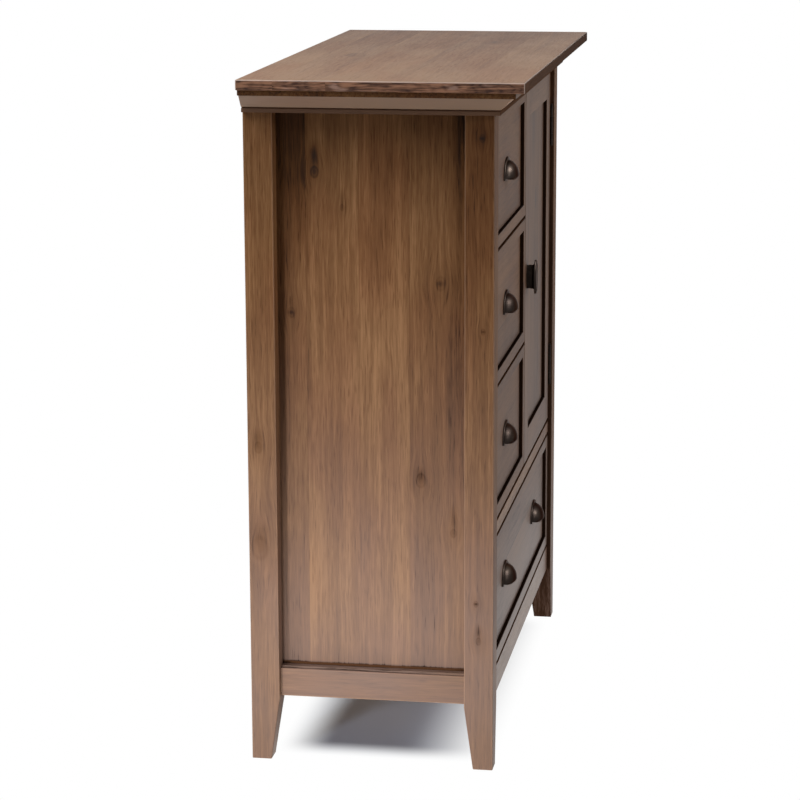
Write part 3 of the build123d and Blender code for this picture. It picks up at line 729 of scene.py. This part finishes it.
def turned(profile, centre, axis, columns):
    """A lathe's work: each (distance along, radius) of the profile goes round the axis."""
    along, radius = np.array(profile, float).T[:, :, None]
    angle = np.linspace(0, 2 * np.pi, columns, endpoint=False)
    first, second = [other for other in range(3) if other != axis]
    sheet = np.zeros((len(profile), columns, 3))
    sheet[..., axis] = along
    sheet[..., first] = radius * np.cos(angle)
    sheet[..., second] = radius * np.sin(angle)
    return sheet + np.array(centre, float)


def cross_head(top, away, centre, axis, radius, height):
    """A screw's domed head with a cross recess: a four-pointed star let down into its top.

    Top is where the head ends along the axis, and away is 1 or -1, the way it faces.
    """
    columns = 32
    angle = np.linspace(0, 2 * np.pi, columns, endpoint=False)
    round_edge = np.ones(columns)
    star = 0.16 + 0.34 * np.abs(np.cos(2 * angle)) ** 5
    dome = [(-height, 1.0), (-height * 0.45, 1.0), (-height * 0.15, 0.85), (0, 0.58)]
    rings = [(deep, round_edge * share) for deep, share in dome]
    rings += [(0, star), (-height * 0.5, star * 0.75), (-height * 0.6, round_edge * 0.02)]
    first, second = [other for other in range(3) if other != axis]
    sheet = np.zeros((len(rings), columns, 3))
    for ring, (deep, share) in zip(sheet, rings):
        ring[:, axis] = top + away * deep
        ring[:, first] = radius * share * np.cos(angle)
        ring[:, second] = radius * share * np.sin(angle)
    return sheet + np.array(centre, float)


# Cup pulls
# Each pull is one casting: an arched flange with rounded edges, a hollow dome open at the foot
# with a beaded lip, and two bosses inside that take the screws from behind the drawer's front.
face_y = -153.5
dome_half, dome_reach, dome_rise, dome_drop, dome_wall = 33.5, 19.8, 24.5, 7.0, 1.8
flange_half, flange_rise, flange_foot, flange_thickness = 38.0, 29.5, 4.0, 3.0
boss_across, boss_up, boss_radius = 24.0, 6.0, 4.5
lip_radius, dome_gap = 1.25, 0.3


def dome_skin(inset):
    """Points on the dome, this far inside its outer skin.

    Each column is half an ellipse through both ends of the dome, and the rows swing it from
    upright at the flange down to level and a little under, where the ellipse is flatter.
    """
    swing = np.radians(np.linspace(89, -34, 22))[:, None]
    across = np.linspace(0, np.pi, 49)[None, :]
    rise = np.where(swing > 0, dome_rise - inset, dome_drop - inset * 0.4)
    x = (dome_half - inset) * np.cos(across) + 0 * swing
    out = (dome_reach - inset) * np.sin(across) * np.cos(swing)
    up = rise * np.sin(across) * np.sin(swing)
    return np.stack([x, -out, up], -1)


def flange_path(half, rise):
    """Up one side from the foot, over the arch, and down the other side."""
    across = np.linspace(0, np.pi, 45)
    arch = np.stack([half * np.cos(across), rise * np.sin(across)], -1)
    feet = np.array([[half, -flange_foot], [half, -flange_foot / 2]])
    return np.concatenate([feet, arch, feet[::-1] * (-1, 1)])


def cup_pull(x, z):
    """Sheets of one pull whose dome ends level with z.

    The shell is the outer skin, the lip and the inner skin in one ring. The flange is a section
    swept along its path, the bead is a round rod along the lip, and each boss runs from the
    flange to the middle of the shell's wall.
    """
    outer, inner = dome_skin(0), dome_skin(dome_wall)
    lip = (outer[-1] + inner[-1]) / 2 + (outer[-1] - outer[-2]) * 0.5
    shell = np.concatenate([outer, lip[None], inner[::-1]]).transpose(1, 0, 2)
    inset = dome_wall + dome_gap
    inside = flange_path(dome_half - inset, dome_rise - inset)
    outside = flange_path(flange_half, flange_rise)
    share = np.array([0, 0, 0.08, 0.80, 0.93, 1, 1])[None, :, None]
    height = np.array([0.05, 0.9, 1, 1, 0.86, 0.55, 0.05]) * flange_thickness
    flat = inside[:, None] * (1 - share) + outside[:, None] * share
    flange = np.stack([flat[..., 0], np.broadcast_to(-height, flat.shape[:2]), flat[..., 1]], -1)
    angle = np.linspace(0, 2 * np.pi, 10, endpoint=False)
    bead_path = (outer[-1] + inner[-1]) / 2
    onward = np.gradient(bead_path, axis=0)
    onward /= np.linalg.norm(onward, axis=1)[:, None]
    aside = np.cross(onward, (0.0, 0.0, 1.0))
    aside /= np.linalg.norm(aside, axis=1)[:, None]
    above = np.cross(aside, onward)
    across, up = np.cos(angle)[:, None], np.sin(angle)[:, None]
    bead = bead_path[:, None] + lip_radius * (aside[:, None] * across + above[:, None] * up)
    sheets = [shell, flange, bead]
    angle = np.linspace(0, 2 * np.pi, 20, endpoint=False)
    middle_wall = dome_wall / 2
    for side in (-1, 1):
        boss_x = side * boss_across + boss_radius * np.cos(angle)
        boss_z = boss_up + boss_radius * np.sin(angle)
        x_share, z_share = boss_x / (dome_half - middle_wall), boss_z / (dome_rise - middle_wall)
        left = np.maximum(1 - x_share ** 2 - z_share ** 2, 0.02)
        far = (dome_reach - middle_wall) * np.sqrt(left)
        near = np.full_like(far, 0.2)
        sheets.append(np.stack([np.stack([boss_x, -out, boss_z], -1) for out in (near, far)]))
    return [sheet + np.array([x, face_y, z]) for sheet in sheets]


pulls = {
    "upper_drawer": [(-182.0, 896.8)], "middle_drawer": [(-182.0, 684.8)],
    "lower_drawer": [(-182.0, 472.8)], "wide_drawer": [(-182.0, 239.5), (215.0, 239.5)],
}
screw_head_y, screw_tip_y, screw_radius = -128.0, -161.5, 2.0
screw_head_radius, screw_head_height = 4.0, 2.4
shank = [
    (screw_tip_y, 0.01), (screw_tip_y + 1, screw_radius), (screw_head_y + 0.5, screw_radius),
]
for drawer, places in pulls.items():
    sheets, screws = [], []
    for x, z in places:
        sheets += cup_pull(x, z)
        for side in (-1, 1):
            centre = (x + side * boss_across, 0, z + boss_up)
            head_top = screw_head_y + screw_head_height
            head = cross_head(head_top, 1, centre, 1, screw_head_radius, screw_head_height)
            screws += [turned(shank, centre, 1, 12), head]
    pull = form(drawer + "_cup_pull", sheets, bronze_finish, drawer)
    pull_screws = form(drawer + "_pull_screws", screws, steel_finish, drawer)
    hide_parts(drawer + "_pull")
    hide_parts(drawer + "_pull")

# Hinges and knob
# Two steel butt hinges with an oil-rubbed finish, each leaf held by three countersunk screws, and
# a cast oval knob on the door's free stile.
for node in ("frame_hinge_leaves", "hinge_pins", "door_hinge_leaves", "door_knob"):
    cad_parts[node].material_slots[0].material = bronze_finish
hinge_feet = (445.5, 878.0)
leaf_screws = ((-152.0, 10.0), (-147.0, 35.0), (-152.0, 60.0))
leaf_faces = {"cabinet": (385.1, -1), "door": (384.9, 1)}
leaf_head_radius, leaf_head_height, proud = 3.2, 0.4, 0.08
for body, (leaf_x, away) in leaf_faces.items():
    heads = []
    for foot in hinge_feet:
        for y, up in leaf_screws:
            top, centre = leaf_x + away * proud, (0, y, foot + up)
            heads.append(cross_head(top, away, centre, 0, leaf_head_radius, leaf_head_height))
    form(body + "_hinge_screws", heads, bronze_finish, body)

# Runners
# Zinc-plated channels: a fixed pair to each drawer on the legs and the partition, and one on each
# side of the drawer's box that slides inside it. Pan-head screws hold them through their webs.
for node in ("cabinet_runners", "shelf_pins", "catch_plate"):
    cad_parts[node].material_slots[0].material = steel_finish
web, leg_face, partition_face, box_gap = 1.2, 386.0, 13.0, 13.0
pan_radius, pan_height = 3.6, 1.6
fixed_places, moving_places = (-118.0, 5.0, 165.0), (-122.0, 0.0, 120.0)
runner_heights = {
    "upper_drawer": 890.5, "middle_drawer": 678.5, "lower_drawer": 466.5, "wide_drawer": 229.5,
}


def pan_heads(face, away, places, height):
    """A row of pan-head screws on a channel's web, at these places from front to back."""
    centres = [(0, y, height) for y in places]
    return [cross_head(face, away, centre, 0, pan_radius, pan_height) for centre in centres]


fixed_screws = []
for drawer, height in runner_heights.items():
    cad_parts[drawer + "_runners"].material_slots[0].material = steel_finish
    right_wall = leg_face if drawer == "wide_drawer" else partition_face
    moving_screws = []
    for wall, inward in ((-leg_face, 1), (right_wall, -1)):
        fixed_face = wall + inward * (web + pan_height)
        moving_face = wall + inward * (box_gap - web - pan_height)
        fixed_screws += pan_heads(fixed_face, inward, fixed_places, height)
        moving_screws += pan_heads(moving_face, -inward, moving_places, height)
    form(drawer + "_runner_screws", moving_screws, steel_finish, drawer)
form("cabinet_runner_screws", fixed_screws, steel_finish, "cabinet")

# Door catch
# A moulded brown plastic housing, screwed to the partition. Two steel poles stand at its front
# with a magnet between them, and meet the plate on the back of the door.
catch_low, catch_high = (31.0, -138.8, 917.5), (45.0, -114.8, 962.5)
pole_low, pole_high, pole_apart = (36.0, -138.8, 928.0), (37.2, -130.0, 952.0), 3.2
catch_screw_y, catch_screw_heights = -126.0, (922.5, 957.5)
catch_head_radius, catch_head_height = 3.0, 1.2


def moulded(name):
    """Dark brown plastic with the fine even grain of a spark-worn mould."""
    finish = Finish(name)
    point = finish.vector(*finish.place())
    speck = finish.noise(point, (1500, 1500, 1500), 2.0)
    flow = finish.noise(point, (70, 30, 70), 2.0)
    colour = finish.mix(flow, shade(56, 40, 30), shade(70, 51, 39))
    fine_grain = finish.bump(speck, 0.0001, 0.3)
    return finish.surface(Base_Color=colour, Roughness=0.42 + speck * 0.15, Normal=fine_grain)


def rounded_bar(low, high, radius, ends, columns=40):
    """A bar along Y: a rectangle with round corners, drawn in by a quarter circle at each end.

    Round the ring the corner circles' centres jump from corner to corner, and on each ring near an
    end everything shrinks by what the quarter circle takes off there.
    """
    low, high = np.array(low), np.array(high)
    turn = np.linspace(0, np.pi / 2, 6)
    taken = ends * (1 - np.sin(turn))
    drawn_in = ends * (1 - np.cos(turn))
    along = np.concatenate([low[1] + drawn_in, high[1] - drawn_in[::-1]])
    taken = np.concatenate([taken, taken[::-1]])[:, None]
    angle = np.linspace(0, 2 * np.pi, columns, endpoint=False)[None, :]
    half_x, half_z = (high[0] - low[0]) / 2, (high[2] - low[2]) / 2
    x = np.sign(np.cos(angle)) * (half_x - radius) + (radius - taken) * np.cos(angle)
    z = np.sign(np.sin(angle)) * (half_z - radius) + (radius - taken) * np.sin(angle)
    middle = (low + high) / 2
    return np.stack([middle[0] + x, along[:, None] + 0 * x, middle[2] + z], -1)


plastic_finish = moulded("catch_plastic")
housing_low = np.array(catch_low) + (0, 0.3, 0)
housing_high = np.array(catch_high) - (1.0, 0, 0)
housing = rounded_bar(housing_low, housing_high, radius=1.5, ends=0.8)
steel_parts = []
for side in (-1, 1):
    aside = (side * pole_apart, 0, 0)
    pole_ends = np.array(pole_low) + aside, np.array(pole_high) + aside
    steel_parts.append(rounded_bar(*pole_ends, radius=0.4, ends=0.1, columns=16))
for z in catch_screw_heights:
    centre = (0, catch_screw_y, z)
    head = cross_head(catch_high[0], 1, centre, 0, catch_head_radius, catch_head_height)
    steel_parts.append(head)
catch_housing = form("catch_housing", [housing], plastic_finish, "cabinet")
catch_poles = form("catch_poles", steel_parts, steel_finish, "cabinet")
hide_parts("door_catch")
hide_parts("door_catch")

# Back nails
# Flat-headed nails hold the plywood back in the rebates of the back legs and against the rails.
back_face = 214.0
side_nails_x, rail_nail_heights = 391.0, (122.0, 1034.0)
nail_places = [(side * side_nails_x, z) for side in (-1, 1) for z in np.linspace(135, 1020, 8)]
nail_places += [(x, z) for x in np.linspace(-320, 320, 6) for z in rail_nail_heights]
nail_profile = ((-0.3, 2.4), (0.25, 2.4), (0.4, 2.0), (0.42, 0.02))
nail_head = [(back_face + out, radius) for out, radius in nail_profile]
nails = [turned(nail_head, (x, 0, z), 1, 16) for x, z in nail_places]
form("back_nails", nails, bronze_finish, "cabinet")

# Studio
# A white floor, and a white background beyond it. Soft lamps at the left and the front light the
# cabinet, the floor glows near its feet, a painted light that lights it from below, and one lamp
# only adds a gleam to gloss and metal.
floor_reach = 9.0
floor_mesh = bpy.data.meshes.new("studio_floor")
corners = [(-floor_reach, -floor_reach, 0), (floor_reach, -floor_reach, 0)]
corners += [(floor_reach, floor_reach, 0), (-floor_reach, floor_reach, 0)]
floor_mesh.from_pydata(corners, [], [(0, 1, 2, 3)])
floor = bpy.data.objects.new("studio_floor", floor_mesh)
bpy.context.scene.collection.objects.link(floor)


def background_rays(finish):
    """1 for the rays that find a white background: the camera's, and those in gloss and glass."""
    kinds = ("Is Camera Ray", "Is Glossy Ray", "Is Transmission Ray")
    seen, mirrored, through = [finish.node("ShaderNodeLightPath", output=kind) for kind in kinds]
    return seen.most(mirrored).most(through)


floor_finish = Finish("white_floor")
x, y, _ = floor_finish.place()
feet_x, feet_y = 0.42, 0.18
beside = (abs(x) - feet_x).most(0)
before = (abs(y) - feet_y).most(0)
from_feet = (beside * beside + before * before).root()
glow = (1 - from_feet.rise(0.1, 1.6)) * 0.45
in_shadow = y.rise(-0.17, -0.01) * (1 - y.rise(0.10, 0.19))
beneath = (1 - abs(x).rise(0.33, 0.405)) * in_shadow
rays = background_rays(floor_finish)
share = rays * (1 - beneath) + (1 - rays) * glow
white = floor_finish.node("ShaderNodeEmission", None, {"Color": (1, 1, 1, 1), "Strength": 1.0})
lit_matt = floor_finish.node("ShaderNodeBsdfDiffuse", None, {"Color": (0.88, 0.88, 0.88, 1)})
# Painted shade: under the cabinet the camera sees a darker, cooler floor, which deepens the shadow
# there.
painted_shadow_matt = floor_finish.node("ShaderNodeBsdfDiffuse", None, {"Color": (0.49, 0.57, 0.75, 1)})
matt = floor_finish.node("ShaderNodeMixShader", None, {0: rays, 1: lit_matt, 2: painted_shadow_matt})
floor_mesh.materials.append(floor_finish.close(
    floor_finish.node("ShaderNodeMixShader", None, {0: share, 1: matt, 2: white})
))


def place_lamp(name, kind, place, target, power, **settings):
    """Hangs a lamp at a place, turned to a target, out of the camera's sight."""
    lamp = bpy.data.lights.new(name, kind)
    lamp.energy = power
    holder = bpy.data.objects.new(name, lamp)
    for key, value in settings.items():
        setattr(holder if key.startswith("visible") else lamp, key, value)
    aim = (Vector(target) - Vector(place)).to_track_quat("-Z", "Y").to_matrix().to_4x4()
    holder.matrix_world = Matrix.Translation(place) @ aim
    holder.visible_camera = False
    bpy.context.scene.collection.objects.link(holder)


square = {"shape": "SQUARE"}
only_gloss = {"visible_diffuse": False}
side_beam = {"spot_size": math.radians(27), "spot_blend": 1.0, "shadow_soft_size": 0.2}
low_beam = {"spot_size": math.radians(31), "spot_blend": 1.0, "shadow_soft_size": 0.15}
over_back, left_wall, left_floor = (-1.3, 1.5, 2.9), (-2.9, 1.15, 0.85), (-2.2, 0.35, 0.12)
before_left, over_front = (-1.2, -2.8, 1.9), (0.08, -2.3, 3.05)
place_lamp("left_above", "AREA", over_back, (-0.1, 0, 0.9), 47, size=1.6, **square)
place_lamp("left_side", "SPOT", left_wall, (-0.4, 0.06, 0.41), 178, **side_beam)
place_lamp("left_low", "SPOT", left_floor, (-0.4, 0.03, 0.08), 68, **low_beam)
place_lamp("front_left", "AREA", before_left, (0, -0.16, 0.6), 18, size=0.8, **square)
place_lamp(
    "gloss_light", "AREA", over_front, (-0.18, -0.17, 0.65), 150, size=1.5, **square, **only_gloss,
)


class Sky(Finish):
    """The world's own nodes, made the way a finish's are."""

    def __init__(self, name):
        self.world = bpy.data.worlds.new(name)
        self.world.use_nodes = True
        self.tree = self.world.node_tree
        self.tree.nodes.clear()


sky = Sky("studio")
seen = sky.node("ShaderNodeBackground", None, {"Color": (1, 1, 1, 1), "Strength": 1.0})
lit = sky.node("ShaderNodeBackground", None, {"Color": (1, 1, 1, 1), "Strength": 0.05})
sky.node("ShaderNodeOutputWorld", None, {
    "Surface": sky.node("ShaderNodeMixShader", None, {0: background_rays(sky), 1: lit, 2: seen}),
})
bpy.context.scene.world = sky.world

bpy.context.scene.view_settings.view_transform = "Standard"
